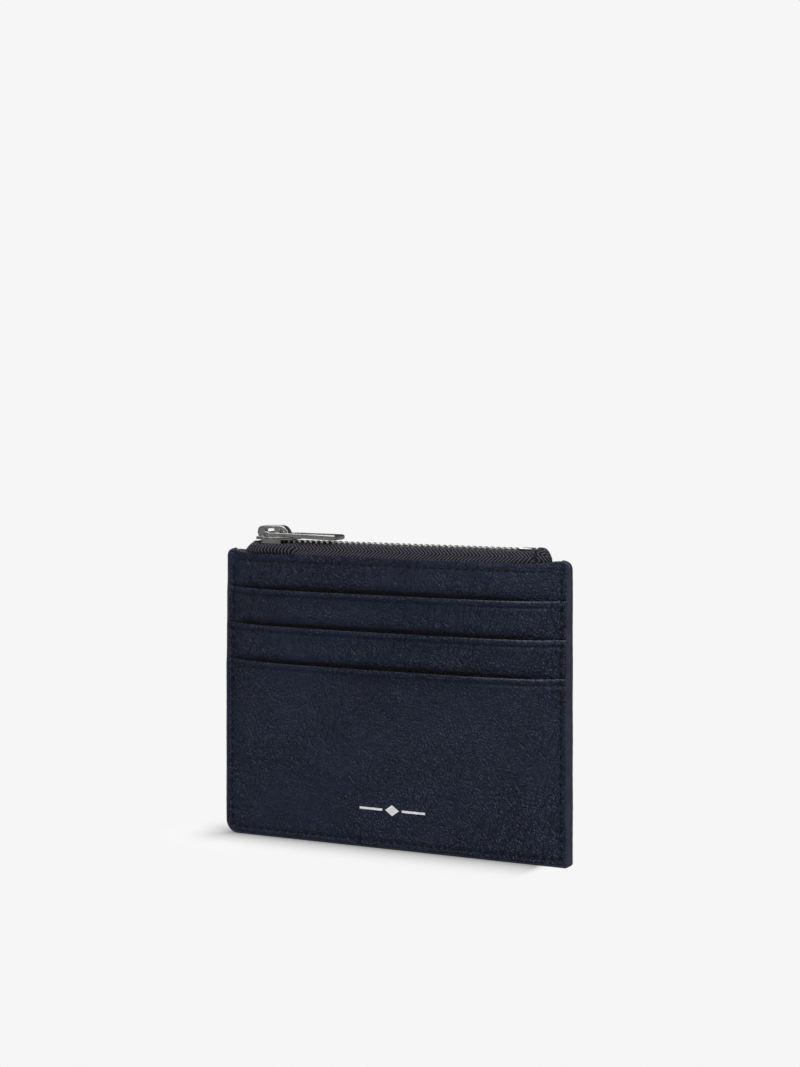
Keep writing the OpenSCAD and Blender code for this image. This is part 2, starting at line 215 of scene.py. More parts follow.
def loft(name, rings, material, caps="strip"):
    """Skin over closed rings (m, n, 3). caps: strip joins point k to n-1-k, fan adds a centre."""
    rings = np.asarray(rings, float)
    m, n = rings.shape[:2]
    verts = [tuple(p) for p in rings.reshape(-1, 3)]
    faces = []
    for i in range(m - 1):
        for k in range(n):
            a, b = i * n + k, i * n + (k + 1) % n
            faces.append((a, b, b + n, a + n))
    for base in (0, (m - 1) * n):
        if caps == "strip":
            for k in range(n // 2 - 1):
                faces.append((base + k, base + n - 1 - k, base + n - 2 - k, base + k + 1))
        else:
            c = len(verts)
            verts.append(tuple(rings[base // n].mean(0)))
            faces += [(c, base + k, base + (k + 1) % n) for k in range(n)]
    return new_object(name, verts, faces, material)


def finish_piece(o, body, slot, *nodes, ride=True):
    """Says which CAD nodes a piece stands for and the body it rides. slot is not used."""
    if nodes:
        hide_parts(*nodes)
    if ride:
        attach(o, body)
    return o


def spaced(lo, hi, step, near=(), fine=0.2, reach=2.0):
    """Increasing stations from lo to hi, closer together next to the given places."""
    out, v = [lo], lo
    while v < hi - 1e-6:
        d = min([abs(v - p) for p in near] + [1e9])
        s = fine if d < reach else min(step, fine + (d - reach) * 0.35)
        v = min(v + s, hi)
        out.append(v)
    if out[-1] - out[-2] < fine * 0.4:
        out.pop(-2)
    return np.array(out)


# ---------------------------------------------------------------- node helpers
class Nodes:
    """Short ways to add nodes to one tree. A value may be a constant or another node's output."""

    def __init__(self, tree):
        self.t = tree
        self.t.nodes.clear()

    def new(self, kind):
        return self.t.nodes.new("ShaderNode" + kind)

    def put(self, sock, v):
        if isinstance(v, bpy.types.NodeSocket):
            self.t.links.new(v, sock)
        else:
            sock.default_value = v

    def calc(self, op, a, b=None):
        n = self.new("Math")
        n.operation = op
        self.put(n.inputs[0], a)
        if b is not None:
            self.put(n.inputs[1], b)
        return n.outputs[0]

    def add(self, a, b):
        return self.calc("ADD", a, b)

    def sub(self, a, b):
        return self.calc("SUBTRACT", a, b)

    def mul(self, a, b):
        return self.calc("MULTIPLY", a, b)

    def wave(self, v):
        """A sine between 0 and 1."""
        return self.add(self.mul(self.calc("SINE", v), 0.5), 0.5)

    def remap(self, v, a, b, c=0.0, d=1.0):
        """c where v is a, d where it is b, with an eased way between."""
        n = self.new("MapRange")
        n.interpolation_type = "SMOOTHSTEP"
        self.put(n.inputs[0], v)
        for i, x in enumerate((a, b, c, d)):
            n.inputs[1 + i].default_value = x
        return n.outputs[0]

    def vector(self, op, a, b):
        n = self.new("VectorMath")
        n.operation = op
        self.put(n.inputs[0], a)
        self.put(n.inputs[1], b)
        return n

    def join(self, x, y, z):
        n = self.new("CombineXYZ")
        for i, v in enumerate((x, y, z)):
            self.put(n.inputs[i], v)
        return n.outputs[0]


class Mat(Nodes):
    """A material in the object's own space, in metres."""

    def __init__(self, name):
        self.m = bpy.data.materials.new(name)
        self.m.use_nodes = True
        super().__init__(self.m.node_tree)
        self.out = self.new("OutputMaterial")
        self.b = self.new("BsdfPrincipled")
        self.put(self.out.inputs["Surface"], self.b.outputs[0])
        self.co = self.new("TexCoord").outputs["Object"]

    def mapping(self, scale=(1, 1, 1), rot=(0, 0, 0), src=None):
        n = self.new("Mapping")
        self.put(n.inputs["Vector"], src or self.co)
        n.inputs["Scale"].default_value = scale
        n.inputs["Rotation"].default_value = rot
        return n.outputs[0]

    def noise_node(self, scale, detail=3.0, rough=0.55, src=None):
        n = self.new("TexNoise")
        self.put(n.inputs["Vector"], src or self.co)
        n.inputs["Scale"].default_value = scale
        n.inputs["Detail"].default_value = detail
        n.inputs["Roughness"].default_value = rough
        return n

    def noise(self, *args):
        return self.noise_node(*args).outputs[0]

    def warped(self, scale, size):
        """The coordinates, pushed about by up to half that size."""
        push = self.vector("SUBTRACT", self.noise_node(scale, 3.0, 0.5).outputs["Color"], (0.5, 0.5, 0.5))
        n = self.new("VectorMath")
        n.operation = "SCALE"
        self.put(n.inputs[0], push.outputs["Vector"])
        n.inputs["Scale"].default_value = size
        return self.vector("ADD", self.co, n.outputs["Vector"]).outputs["Vector"]

    def cells(self, scale, width, src, squash=1.0, turn=0.0):
        """Random cells: 0 on their borders, rising to 1. squash draws them out along the turned Z."""
        n = self.new("TexVoronoi")
        n.feature = "DISTANCE_TO_EDGE"
        self.put(n.inputs["Vector"], self.mapping((1.0, 1.0, squash), (0, math.radians(turn), 0), src))
        n.inputs["Scale"].default_value = scale
        n.inputs["Randomness"].default_value = 1.0
        return self.remap(n.outputs["Distance"], 0.0, width)

    def pointed(self, a, b, c=0.0, d=1.0):
        """Remapped pointiness: above a half on outward corners, below it in inward ones."""
        return self.remap(self.new("NewGeometry").outputs["Pointiness"], a, b, c, d)

    def attribute(self, name):
        n = self.new("Attribute")
        n.attribute_name = name
        return n.outputs["Fac"]

    def blend(self, fac, a, b):
        """Colour a where fac is 0 and b where it is 1."""
        n = self.new("Mix")
        n.data_type = "RGBA"
        self.put(n.inputs[0], fac)
        for i, v in ((6, a), (7, b)):
            self.put(n.inputs[i], (*v, 1) if isinstance(v, tuple) else v)
        return n.outputs[2]

    def bump(self, height, strength, distance):
        n = self.new("Bump")
        n.inputs["Strength"].default_value = strength
        n.inputs["Distance"].default_value = distance
        self.put(n.inputs["Height"], height)
        return n.outputs[0]

    def xyz(self):
        n = self.new("SeparateXYZ")
        self.put(n.inputs[0], self.co)
        return n.outputs

    def set(self, **kw):
        for k, v in kw.items():
            self.put(self.b.inputs[k.replace("_", " ")], v)


# ---------------------------------------------------------------- materials
def scaled(colour, share):
    return tuple(share * c for c in colour)


def leather(name, dark, mid, light, painted_highlight_colour, grain, depth=0.00088, rough=0.41):
    """Soft tumbled hide. The shade attribute darkens it with painted shade, and with dye too along the seams;
    the other attribute lightens its turned edges with a painted highlight.
    """
    m = Mat(name)
    co = m.warped(380.0, 0.0017)
    pebble = m.cells(grain, 0.30, co, 0.72, 24)
    small = m.cells(grain * 2.1, 0.28, co, 0.72, 24)
    # Longer creases that run on the diagonals. They come and go in patches.
    crease = m.cells(grain * 0.52, 0.085, co, 0.26, -38)
    cross = m.cells(grain * 0.40, 0.07, co, 0.34, 35)
    patch = m.remap(m.noise(38.0, 2.0, 0.5), 0.40, 0.62)
    other = m.remap(m.noise(27.0, 2.0, 0.5, m.mapping(rot=(0.4, 0.2, 1.1))), 0.46, 0.62)
    calm = m.remap(m.noise(33.0, 2.0, 0.5, m.mapping(rot=(1.0, 0.3, 0.2))), 0.36, 0.62, 0.35, 1.0)
    height = m.add(m.mul(pebble, m.mul(calm, 0.34)), m.mul(small, 0.10))
    height = m.add(height, m.mul(crease, m.mul(patch, 0.70)))
    height = m.add(height, m.mul(cross, m.mul(other, 0.50)))
    height = m.add(height, m.mul(m.noise(5200.0, 2.0, 0.6), 0.05))

    body = m.blend(m.remap(m.noise(30.0, 3.0, 0.6), 0.30, 0.72), mid, light)
    raised = m.mul(m.remap(pebble, 0, 1, 0.35, 1.0), m.remap(crease, 0, 1, 0.6, 1.0))
    tone = m.blend(raised, dark, body)
    tone = m.blend(m.mul(m.pointed(0.53, 0.60), 0.40), tone, scaled(light, 2.0))
    # Painted light from two point attributes: a painted highlight on the turned edges, then painted shade
    # behind the pocket mouths and along the seams, where it is partly dye.
    shade, edge = m.attribute("shade"), m.attribute("edge")
    tone = m.blend(m.mul(edge, 0.85), tone, painted_highlight_colour)
    tone = m.blend(m.mul(shade, 0.97), tone, scaled(dark, 0.25))

    dull = m.add(m.mul(m.noise(90.0, 3.0, 0.6), 0.16), rough - 0.08)
    dull = m.add(dull, m.mul(m.sub(1.0, pebble), 0.10))
    dull = m.add(dull, m.mul(shade, 0.45))
    dull = m.sub(dull, m.mul(edge, 0.12))
    m.set(Base_Color=tone, Roughness=dull, Normal=m.bump(height, 1.0, depth))
    m.b.inputs["IOR"].default_value = 1.45
    m.b.inputs["Specular IOR Level"].default_value = 0.46
    return m.m


def cloth(name, dark, light, pitch, turn_back=None, depth=0.00006, rough=0.85):
    """Twill, or herringbone where the ribs turn back at every turn_back metres."""
    m = Mat(name)
    x, y, z = m.xyz()
    up = m.sub(z, m.mul(m.calc("ABSOLUTE", y), 0.8))
    wander = m.mul(m.sub(m.noise(700.0, 2.0), 0.5), 0.00012)
    slant = m.add(m.add(x, wander), m.calc("PINGPONG", up, turn_back) if turn_back else up)
    turns = 2 * math.pi / (pitch * MM)
    rib, cross = m.wave(m.mul(slant, turns)), m.wave(m.mul(up, turns * 2.1))
    fuzz = m.noise(3800.0, 2.0, 0.7)
    h = m.add(m.mul(rib, 0.80), m.mul(cross, 0.20))
    h = m.add(h, m.mul(m.sub(fuzz, 0.25), 0.55))
    c = m.blend(m.remap(h, 0.48, 1.00), dark, light)
    c = m.blend(m.mul(m.noise(160.0, 3.0), 0.35), c, dark)
    dull = m.remap(fuzz, 0.2, 0.8, rough - 0.1, rough + 0.08)
    m.set(Base_Color=c, Roughness=dull, Normal=m.bump(h, 1.0, depth))
    m.b.inputs["Sheen Weight"].default_value = 0.04
    m.b.inputs["Sheen Roughness"].default_value = 0.5
    m.b.inputs["Specular IOR Level"].default_value = 0.22
    return m.m


def thread_material(ply=0.00034):
    m = Mat("thread_dark")
    x, y, z = m.xyz()
    along = m.add(m.add(x, z), m.mul(y, 1.4))
    twist = m.calc("SINE", m.mul(along, 2 * math.pi / ply))
    h = m.add(m.mul(twist, 0.5), m.mul(m.noise(4200.0, 2.0), 0.5))
    c = m.blend(m.remap(h, -0.2, 0.8), (0.0006, 0.0009, 0.0022), (0.0040, 0.0055, 0.0110))
    dull = m.remap(m.noise(2500.0), 0.3, 0.7, 0.45, 0.62)
    m.set(Base_Color=c, Roughness=dull, Normal=m.bump(h, 0.6, 0.00005))
    m.b.inputs["Specular IOR Level"].default_value = 0.25
    return m.m


def paint_material():
    m = Mat("edge_paint")
    big, fine = m.noise(220.0, 3.0, 0.6), m.noise(2600.0, 3.0, 0.6)
    c = m.blend(m.remap(big, 0.3, 0.7), (0.0120, 0.0145, 0.0285), (0.0185, 0.0215, 0.0400))
    c = m.blend(m.mul(m.pointed(0.52, 0.60), 0.5), c, (0.045, 0.05, 0.065))
    h = m.add(m.mul(big, 0.7), m.mul(fine, 0.35))
    m.set(Base_Color=c, Roughness=m.remap(big, 0.3, 0.7, 0.42, 0.52), Normal=m.bump(h, 0.45, 0.00012))
    m.b.inputs["Specular IOR Level"].default_value = 0.5
    return m.m


def metal(name, base, tint, rough, scratch=(1, 1, 1)):
    m = Mat(name)
    streak = m.noise(900.0, 4.0, 0.65, m.mapping(scratch))
    cloud = m.noise(260.0, 3.0, 0.55)
    c = m.blend(m.remap(cloud, 0.25, 0.75), base, tint)
    c = m.blend(m.mul(m.pointed(0.40, 0.49, 1.0, 0.0), 0.55), c, scaled(base, 0.35))
    dull = m.remap(streak, 0.25, 0.75, rough - 0.05, rough + 0.09)
    m.set(Base_Color=c, Metallic=1.0, Roughness=dull, Normal=m.bump(streak, 0.25, 0.00001))
    return m.m


def foil_material():
    m = Mat("foil_pale")
    speck, cloud = m.noise(3000.0, 3.0, 0.7), m.noise(500.0, 2.0)
    c = m.blend(m.remap(cloud, 0.3, 0.7), (0.74, 0.75, 0.77), (0.90, 0.90, 0.91))
    c = m.blend(m.mul(m.remap(speck, 0.60, 0.78), 0.5), c, (0.35, 0.36, 0.40))
    dull = m.remap(cloud, 0.3, 0.7, 0.34, 0.48)
    m.set(Base_Color=c, Metallic=0.25, Roughness=dull, Normal=m.bump(speck, 0.3, 0.00003))
    return m.m


# Dark, middle and light tones of the hide, and the colour of the painted highlight on its turned edges.
NAVY = (0.0008, 0.0028, 0.0115), (0.0048, 0.0116, 0.0385), (0.0080, 0.0170, 0.0505), (0.100, 0.122, 0.158)
LEATHER = leather("leather_navy", *NAVY, grain=1080.0)
LEATHER_BACK = leather("leather_navy_back", *NAVY, grain=1000.0)
PAINT = paint_material()
LINING = cloth("lining_twill", (0.008, 0.009, 0.014), (0.030, 0.032, 0.042), pitch=0.55)
TAPE = cloth("zip_tape_herringbone", (0.0014, 0.0014, 0.0036), (0.094, 0.088, 0.120), pitch=1.22,
             turn_back=0.0021, depth=0.00048)
THREAD = thread_material()
NICKEL = metal("nickel_polished", (0.46, 0.455, 0.445), (0.66, 0.65, 0.635), 0.16, (1, 3, 3))
TEETH = metal("nickel_teeth", (0.62, 0.61, 0.57), (0.80, 0.79, 0.74), 0.24)
FOIL = foil_material()

# ---------------------------------------------------------------- leather layers
# The front layers. seen and hidden place the outer face above the next pocket's mouth and below it, each as
# millimetres outwards at (mid span, side seam). own is the mouth that the layer ends in, over the one that
# covers its foot. rows are shares of its height.
BAND_ROWS = spaced(0, 1, 0.05, near=(0.34, 1.0), fine=0.016, reach=0.12)
LAYERS = {
    "panel": {"seen": (0.95, 1.30), "hidden": (0.55, 0.95), "own": None, "over": 2,
              "rows": spaced(0, 1, 0.03, near=(0.0, 0.045, 0.88, 0.975), fine=0.0055, reach=0.035)},
    "upper": {"seen": (1.36, 1.53), "hidden": (0.95, 1.15), "own": 2, "over": 1, "rows": BAND_ROWS},
    "middle": {"seen": (1.76, 1.76), "hidden": (1.36, 1.38), "own": 1, "over": 0, "rows": BAND_ROWS},
    "lower": {"seen": (2.12, 1.99), "hidden": None, "own": 0, "over": None,
              "rows": spaced(0, 1, 0.03, near=(0.0, 0.045, 1.0), fine=0.0065, reach=0.045)},
}
BACK_ROWS = spaced(0, 1, 0.03, near=(0.0, 0.045, 0.975), fine=0.0065, reach=0.035)
X_GRID = spaced(-HALF, HALF, 1.5, near=(-HALF, -56.6, -52, 52, 56.6, HALF), fine=0.42, reach=1.6)


def mouth_z(k, x):
    return MOUTH[k] - SAG[k] * (1 - np.abs(x / HALF) ** 4)


def front_offset(layer, x, z):
    """Outer face of a front layer, as millimetres outwards from the compartment's wall."""
    w = side_weight(x)
    at = LAYERS[layer]
    o = mix(*at["seen"], w)
    if at["over"] is not None:
        up = z - mouth_z(at["over"], x)
        o = mix(mix(*at["hidden"], w), o, smooth(0.0, 1.0, (up + 0.1) / mix(3.4, 0.5, w)))
        o = o - 0.34 * (1 - w) * bell(np.maximum(up + 0.3, 0), 1.3)
    if at["own"] is not None:
        down = mouth_z(at["own"], x) - z
        gape = 0.22 + 0.62 * np.clip(1 - (x / 55) ** 2, 0, 1)
        o = o + gape * (1 - w) * bell(np.maximum(down, 0), 2.3)
        o = o - 0.24 * (1 - 0.4 * w) * bell(down - 2.05, 0.30) + 0.12 * bell(down - 1.05, 0.55)
    uneven = 0.17 * ripple(x, z, 17) + 0.060 * ripple(z, x, 5.5)
    return o - pinch(x, z) + uneven * (1 - w) * smooth(2.5, 9, z) + 0.09 * rim_puff(x, z)


def back_offset(x, z):
    """Outer face of the back panel, in the same way."""
    w = side_weight(x)
    uneven = 0.10 * ripple(-x, z + 40, 19) + 0.03 * ripple(z, x + 9, 6)
    return 0.95 - 0.03 * w - pinch(x, z) + uneven * (1 - w) * smooth(2.5, 9, z) + 0.05 * rim_puff(x, z)


def turned_over(plain, z):
    """Thickness of a panel, which grows where its top edge is turned over."""
    return mix(plain, 0.84, smooth(2.6, 0.5, TOP - z))


def beyond_zip(x):
    """1 beside the zip's ends and 0 between them."""
    return smooth(52.2, 53.6, np.abs(x))


def ring_layer(side, x, z, offset, thick):
    """One upright section of a layer: up its outer face, over its turned edge, down its inner face."""
    xs = outline_x(np.full(len(z), x), z)
    zz = z + lift(xs, z)
    out = offset(xs, z)
    t = thick(xs, z)
    r = t[-1] / 2
    outer = [[xs[i], case_y(side, xs[i], z[i], out[i]), zz[i]] for i in range(len(z))]
    inner = [[xs[i], case_y(side, xs[i], z[i], out[i] - t[i]), zz[i]] for i in range(len(z))]
    arc = []
    for a in np.linspace(0, math.pi, ROLL + 2)[1:-1]:
        xa = float(outline_x(x, z[-1] + r * math.sin(a)))
        arc.append([xa, case_y(side, xa, z[-1], out[-1] - r + r * math.cos(a)), zz[-1] + r * math.sin(a)])
    return outer + arc + inner[::-1]


def mark_dye_and_painted_light(o, own=None, over=None):
    """Sets two point attributes of painted light. shade darkens a layer along its seams, partly dye gathered
    at the stitches and partly painted shade in their groove, and behind the next pocket's mouth, where it is
    painted shade; edge is a painted highlight along a turned edge."""
    mesh = o.data
    co = np.empty(len(mesh.vertices) * 3)
    mesh.vertices.foreach_get("co", co)
    x, _, z = (co.reshape(-1, 3) / MM).T
    # Darker along the stitch lines: partly dye gathered at the stitches, partly painted shade in their
    # groove.
    shade = 0.42 * edge_seam(x, z, 0.65, 0.40)
    if own is None:
        shade = np.maximum(shade, 0.42 * zip_seam(x, z, 0.65, 0.40))
    if over is not None:
        # Painted shade: a dark band on the layer just above the next pocket's mouth, widest at mid span and
        # fading out towards the right end.
        up, wide = z - mouth_z(over, x), 0.4 + 0.6 * np.clip(1 - (x / W2) ** 2, 0, 1)
        fade = (1 - 0.9 * smooth(42, 53, x)) * (0.6 + 0.4 * smooth(-58, -42, x))
        gap = np.maximum(1 - smooth(1.0, 1.7, up / wide), 0.22 * np.exp(-np.maximum(0, up) / 1.7))
        shade = np.maximum(shade, gap * fade)
    edge = np.zeros(len(x))
    if own is not None:
        # Painted highlight: a thin light line along the layer's own turned edge and a fainter one 2.45 mm
        # below it, strongest towards the right end.
        down = mouth_z(own, x) - z
        right = 0.07 + 0.93 * smooth(16, 50, x)
        edge = right * (bell(np.maximum(down - 0.05, 0), 0.26) + 0.30 * bell(down - 2.45, 0.20))
    for word, v in (("shade", shade), ("edge", edge)):
        mesh.attributes.new(word, "FLOAT", "POINT").data.foreach_set("value", v.astype(np.float32))


def front_layer(name, layer, low, node):
    at, rings = LAYERS[layer], []
    own = at["own"]
    for x in X_GRID:
        w = float(side_weight(x))
        if own is None:
            top = TOP - mix(0.42, 0.60, w)
        else:
            top = float(mouth_z(own, x)) - mix(0.29, 0.17, w)

        def thick(xs, zs):
            if own is None:
                return mix(turned_over(0.42, zs), 1.20, beyond_zip(xs) * smooth(60, 70, zs))
            return mix(0.34, mix(0.58, 0.34, side_weight(xs)), smooth(2.6, 1.6, top - zs))

        z = low + (top - low) * at["rows"]
        rings.append(ring_layer(-1, float(x), z, lambda xs, zs: front_offset(layer, xs, zs), thick))
    o = loft(name, rings, LEATHER)
    mark_dye_and_painted_light(o, own, at["over"])
    return finish_piece(o, "case", "leather", node)


def back_layer():
    """The back panel, plain, with the same turned top edge."""
    z = BASE + (TOP - 0.42 - BASE) * BACK_ROWS

    def thick(xs, zs):
        return mix(turned_over(0.46, zs), 0.88, beyond_zip(xs))

    rings = [ring_layer(1, float(x), z, back_offset, thick) for x in X_GRID]
    o = loft("back_panel_leather", rings, LEATHER_BACK)
    mark_dye_and_painted_light(o)
    return finish_piece(o, "case", "leather", "back_panel")


front_layer("front_panel_leather", "panel", BASE, "front_panel")
front_layer("pocket_band_upper", "upper", 61.0, "card_pocket_upper")
front_layer("pocket_band_middle", "middle", 50.0, "card_pocket_middle")
front_layer("pocket_front_lower", "lower", BASE, "card_pocket_lower")
back_layer()


# ---------------------------------------------------------------- linings and hidden pocket backs
def cloth_layer(name, side, half, low, top, s_out, node, rests, amp=0.0):
    """A flat sheet of cloth that lies along the leather, with its own slight waves of height amp."""
    zs = np.linspace(low, top, 61)
    rings = []
    for x in np.linspace(-half, half, 91):
        px = outline_x(np.full(len(zs), x), zs)
        wob = amp * ripple(px + 30, zs * 1.3, 9) * (1 - side_weight(px)) * smooth(2, 8, zs)
        y = case_y(side, px, zs, s_out) - side * np.abs(wob)
        outer = [[px[i], y[i], zs[i]] for i in range(len(zs))]
        inner = [[px[i], y[i] - side * CLOTH_T, zs[i]] for i in range(len(zs))]
        rings.append(outer + inner[::-1])
    o = loft(name, rings, LINING)
    return finish_piece(o, "case", "lining_cloth", node)


LINING_SIZE = (55.8, 1.4, 84.0)            # half width, foot and top of a lining
cloth_layer("lining_front_cloth", -1, *LINING_SIZE, 0.08, "lining_front", "front_panel_leather", 0.05)
cloth_layer("lining_rear_cloth", 1, *LINING_SIZE, 0.16, "lining_rear", "back_panel_leather", 0.05)
cloth_layer("pocket_back_upper", -1, 47.0, 23.8, 60.6, 0.86, "pocket_tail_upper", "front_panel_leather")
cloth_layer("pocket_back_middle", -1, 47.0, 12.4, 49.6, 1.26, "pocket_tail_middle", "pocket_back_upper")

# ---------------------------------------------------------------- edge bead
# Half of the bead's section, as (outwards, in from the leather's face).
BEAD_SECTION = ((-0.30, 0.12), (-0.05, 0.0), (0.30, -0.01), (0.54, 0.05), (0.68, 0.18), (0.76, 0.42),
                (0.79, 0.80))
# Place of the front face at the seam, which steps back at each mouth.
FACE_Z = [54.8, 56.2, 66.2, 67.6, 77.6, 79.0]
FACE_S = [1.99, 1.78, 1.76, 1.55, 1.53, 1.33]


def top_corner(e, a):
    """Point of the rim at angle a above the side, round an upper corner; e is -1 left and 1 right."""
    r = TOP_CORNER - 0.35 * float(smooth(0.6, 1.4, a))
    z = TOP - 0.05 - TOP_CORNER + r * math.sin(a)
    return e * (HALF - TOP_CORNER + r * math.cos(a)), z, math.pi - a if e < 0 else a


def foot_corner(e, a):
    r = CORNER[e] - EDGE
    return e * (HALF - r) + r * math.cos(a), BASE + r + r * math.sin(a), a


def rim():
    """The rim from the upper left corner down, along the foot and up, as (x, z, angle outwards)."""
    steps = np.radians(np.arange(0, 81, 10))
    path = [top_corner(-1, a) for a in steps[::-1]]
    path += [(-HALF, z, math.pi) for z in np.arange(86, 6, -1.6)]
    path += [foot_corner(-1, a) for a in np.radians(np.arange(180, 271, 9))]
    path += [(x, BASE, math.radians(270)) for x in np.arange(-52, 54.5, 1.6)]
    path += [foot_corner(1, a) for a in np.radians(np.arange(270, 361, 11.25))]
    path += [(HALF, z, 0.0) for z in np.arange(5, 87, 1.6)]
    return path + [top_corner(1, a) for a in steps]


def bead_ring(x, z, a):
    """Section of the bead at one point of the rim. It is fuller on the right and tapers over the top."""
    front = MID_Y - float(np.interp(z, FACE_Z, FACE_S)) - 0.02
    rear = MID_Y + 0.95
    wob = 0.02 * math.sin(0.9 * x + 0.31 * z) + 0.015 * math.sin(2.3 * z + 1.7 * x) if z > 4 else 0.0
    widest = mix(0.70, 0.79, float(smooth(2, 9, z)))
    section = [(min(d, widest) + wob * (d > 0), q) for d, q in BEAD_SECTION]
    ring = [(d, front + q) for d, q in section] + [(d, rear - q) for d, q in section[::-1]]
    ring += [(-0.34, rear - 0.9), (-0.34, front + 0.9)]
    up = z + float(lift(np.array(x), np.array(z)))
    full = (1 + 0.5 * max(0.0, math.cos(a)) ** 2) * (1 - 0.93 * float(smooth(0.55, 0.98, math.sin(a))))
    return [[x + d * (full if d > 0 else 1) * math.cos(a), y, up + d * math.sin(a)] for d, y in ring]


bead = loft("edge_bead_paint", [bead_ring(*point) for point in rim()], PAINT, caps="fan")
finish_piece(bead, "case", "edge_paint", "edge_bead")


# ---------------------------------------------------------------- stitching
def capsule(centre, along, outward, length, width, height, segments=9, around=8):
    """A stitch: a fat thread that dips into the leather at both ends."""
    c, u, n = (np.array(v, float) for v in (centre, along, outward))
    u /= np.linalg.norm(u)
    n = n - u * n.dot(u)
    n /= np.linalg.norm(n)
    b = np.cross(u, n)
    verts, faces = [], []
    for i in range(segments):
        t = -1 + 2 * i / (segments - 1)
        taper = math.sqrt(max(0.0, 1 - abs(t) ** 3.5)) * 0.85 + 0.15 * (1 - abs(t))
        mid = c + u * (t * length / 2) + n * (height * (0.42 - 0.75 * t ** 4))
        twist = 0.05 * math.sin(9 * t)
        for k in range(around):
            a = 2 * math.pi * k / around + twist
            wide, high = width / 2 * taper * math.cos(a), height * 0.62 * taper * math.sin(a)
            verts.append(mid + b * wide + n * high)
    for i in range(segments - 1):
        for k in range(around):
            a, d = i * around + k, i * around + (k + 1) % around
            faces.append((a, d, d + around, a + around))
    faces.append(tuple(range(around)))
    faces.append(tuple(range((segments - 1) * around, segments * around))[::-1])
    return verts, faces


def seam_path(top=85.2, step=0.1):
    """Stitch line a fixed way in from the edge, down one side, round and up the other."""
    d, corner = STITCH_IN, CORNER[-1]
    r = corner - d
    pts = [(-W2 + d, z) for z in np.arange(top, corner, -step)]
    turn = np.linspace(math.pi, 1.5 * math.pi, 30)
    pts += [(-W2 + corner + r * math.cos(a), corner + r * math.sin(a)) for a in turn]
    pts += [(x, d) for x in np.arange(-W2 + corner, W2 - d - 0.4, step)]
    pts += [(W2 - d, z) for z in np.arange(d + 0.4, top, step)]
    return np.array(pts)


def face_offset(side, x, z):
    """Offset of the visible face, at the front or the back."""
    x, z = np.array(float(x)), np.array(float(z))
    if side > 0:
        return float(back_offset(x, z))
    for k, layer in enumerate(("lower", "middle", "upper")):
        if z < mouth_z(k, x):
            return float(front_offset(layer, x, z))
    return float(front_offset("panel", x, z))


def stitches(name, pts, side, node):
    seg = np.hypot(*(pts[1:] - pts[:-1]).T)
    s = np.concatenate([[0], np.cumsum(seg)])
    count = int(s[-1] / PITCH)
    verts, faces = [], []
    for i in range(count + 1):
        at = (i + 0.5 * (s[-1] / PITCH - count)) * PITCH
        ends = []
        for q in (at - STITCH_L / 2, at + STITCH_L / 2):
            x, z = np.interp(q, s, pts[:, 0]), np.interp(q, s, pts[:, 1])
            y = float(case_y(side, x, z, face_offset(side, x, z)))
            ends.append(np.array([x, y, z + float(lift(x, z))]))
        a, b = ends
        jog = rng.uniform(-0.04, 0.04, 3)
        v, f = capsule((a + b) / 2 + jog * [1, 0, 1], b - a + jog, (0, side, 0), STITCH_L, THREAD_W, THREAD_H)
        base = len(verts)
        verts += v
        faces += [tuple(base + k for k in q) for q in f]
    return finish_piece(new_object(name, verts, faces, THREAD), "case", "thread", node)


edge_line = seam_path()
stitches("stitches_edge_front", edge_line, -1, "seam_stitching_front")
stitches("stitches_edge_rear", edge_line, 1, "seam_stitching_rear")
top_line = np.array([(x, ZIP_SEAM) for x in np.arange(-54.2, 54.3, 0.2)])
stitches("stitches_zip_front", top_line, -1, "zip_stitching_front")
stitches("stitches_zip_rear", top_line, 1, "zip_stitching_rear")


# ---------------------------------------------------------------- foil mark
def foil_mark(bar_half=0.35, cells=8):
    """A generic mark, a lozenge between two bars, laid on the leather in small patches."""
    lo, hi = (np.array(p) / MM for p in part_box("foil_mark"))
    mx, mz = (lo[0] + hi[0]) / 2, (lo[2] + hi[2]) / 2
    mw, mh = hi[0] - lo[0], hi[2] - lo[2]
    verts, faces = [], []

    def patch(outline):
        base, n = len(verts), len(outline)
        for face_out in (0.045, -0.03):
            for x, z in outline:
                verts.append([x, float(case_y(-1, x, z, face_offset(-1, x, z) + face_out)), z])
        faces.append(tuple(base + k for k in range(n)))
        faces.append(tuple(base + n + k for k in range(n))[::-1])
        for k in range(n):
            faces.append((base + k, base + n + k, base + n + (k + 1) % n, base + (k + 1) % n))

    bar = mw / 2 - mh
    for e in (-1, 1):
        ends = mx + e * (mw - bar) / 2 + np.linspace(-bar / 2, bar / 2, 2 * cells + 1)
        for a, b in zip(ends[:-1], ends[1:]):
            patch([(a, mz - bar_half), (b, mz - bar_half), (b, mz + bar_half), (a, mz + bar_half)])
    for i in range(cells):
        for j in range(cells):
            square = ((i, j), (i + 1, j), (i + 1, j + 1), (i, j + 1))
            corners = [(p / cells - 0.5, q / cells - 0.5) for p, q in square]
            patch([(mx + (p + q) * mh * 0.7, mz + (q - p) * mh * 0.5) for p, q in corners])
    o = new_object("foil_mark_generic", verts, faces, FOIL, False)
    return finish_piece(o, "case", "foil", "foil_mark")


foil_mark()

